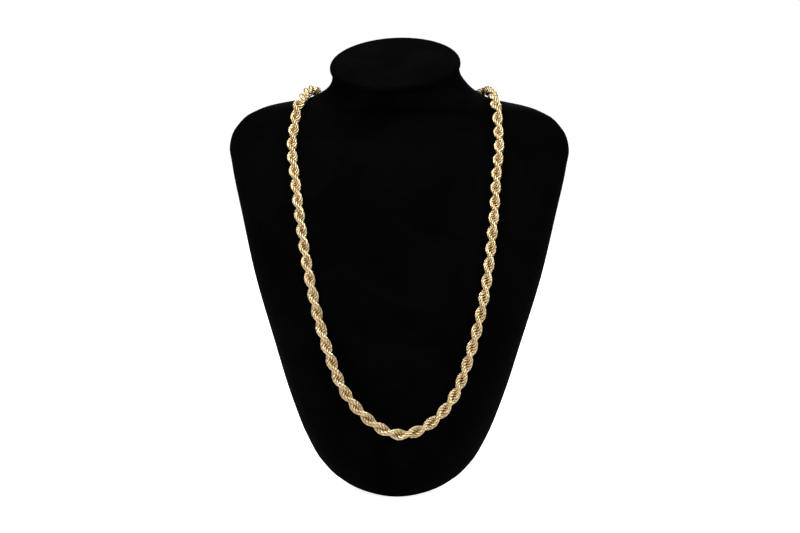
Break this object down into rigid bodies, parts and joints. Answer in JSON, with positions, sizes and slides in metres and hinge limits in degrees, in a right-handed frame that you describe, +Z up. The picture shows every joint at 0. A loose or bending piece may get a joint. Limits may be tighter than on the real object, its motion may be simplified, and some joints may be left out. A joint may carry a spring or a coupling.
{
  "type": "rope chain on a neck bust",
  "caption": "Gold rope chain of two twisted plies, closed by a barrel clasp, lying on a free-standing velvet neck bust with a slanted oval top.",
  "frame": {"origin": "middle of the bust's flat foot", "axes": "+Z up, -Y the way the chest faces, +X to the viewer's right"},
  "size_m": [0.201, 0.1343, 0.2616],
  "materials": {
    "velvet": "black velvet, soft sheen at grazing angles",
    "cap_velvet": "black velvet over a flat board",
    "gold": "polished yellow gold wire",
    "clasp_gold": "polished yellow gold"
  },
  "bodies": {
    "root": {"neck_bust": "velvet", "neck_cap": "cap_velvet", "rope_chain": "gold", "clasp": "clasp_gold"}
  },
  "joints": []
}
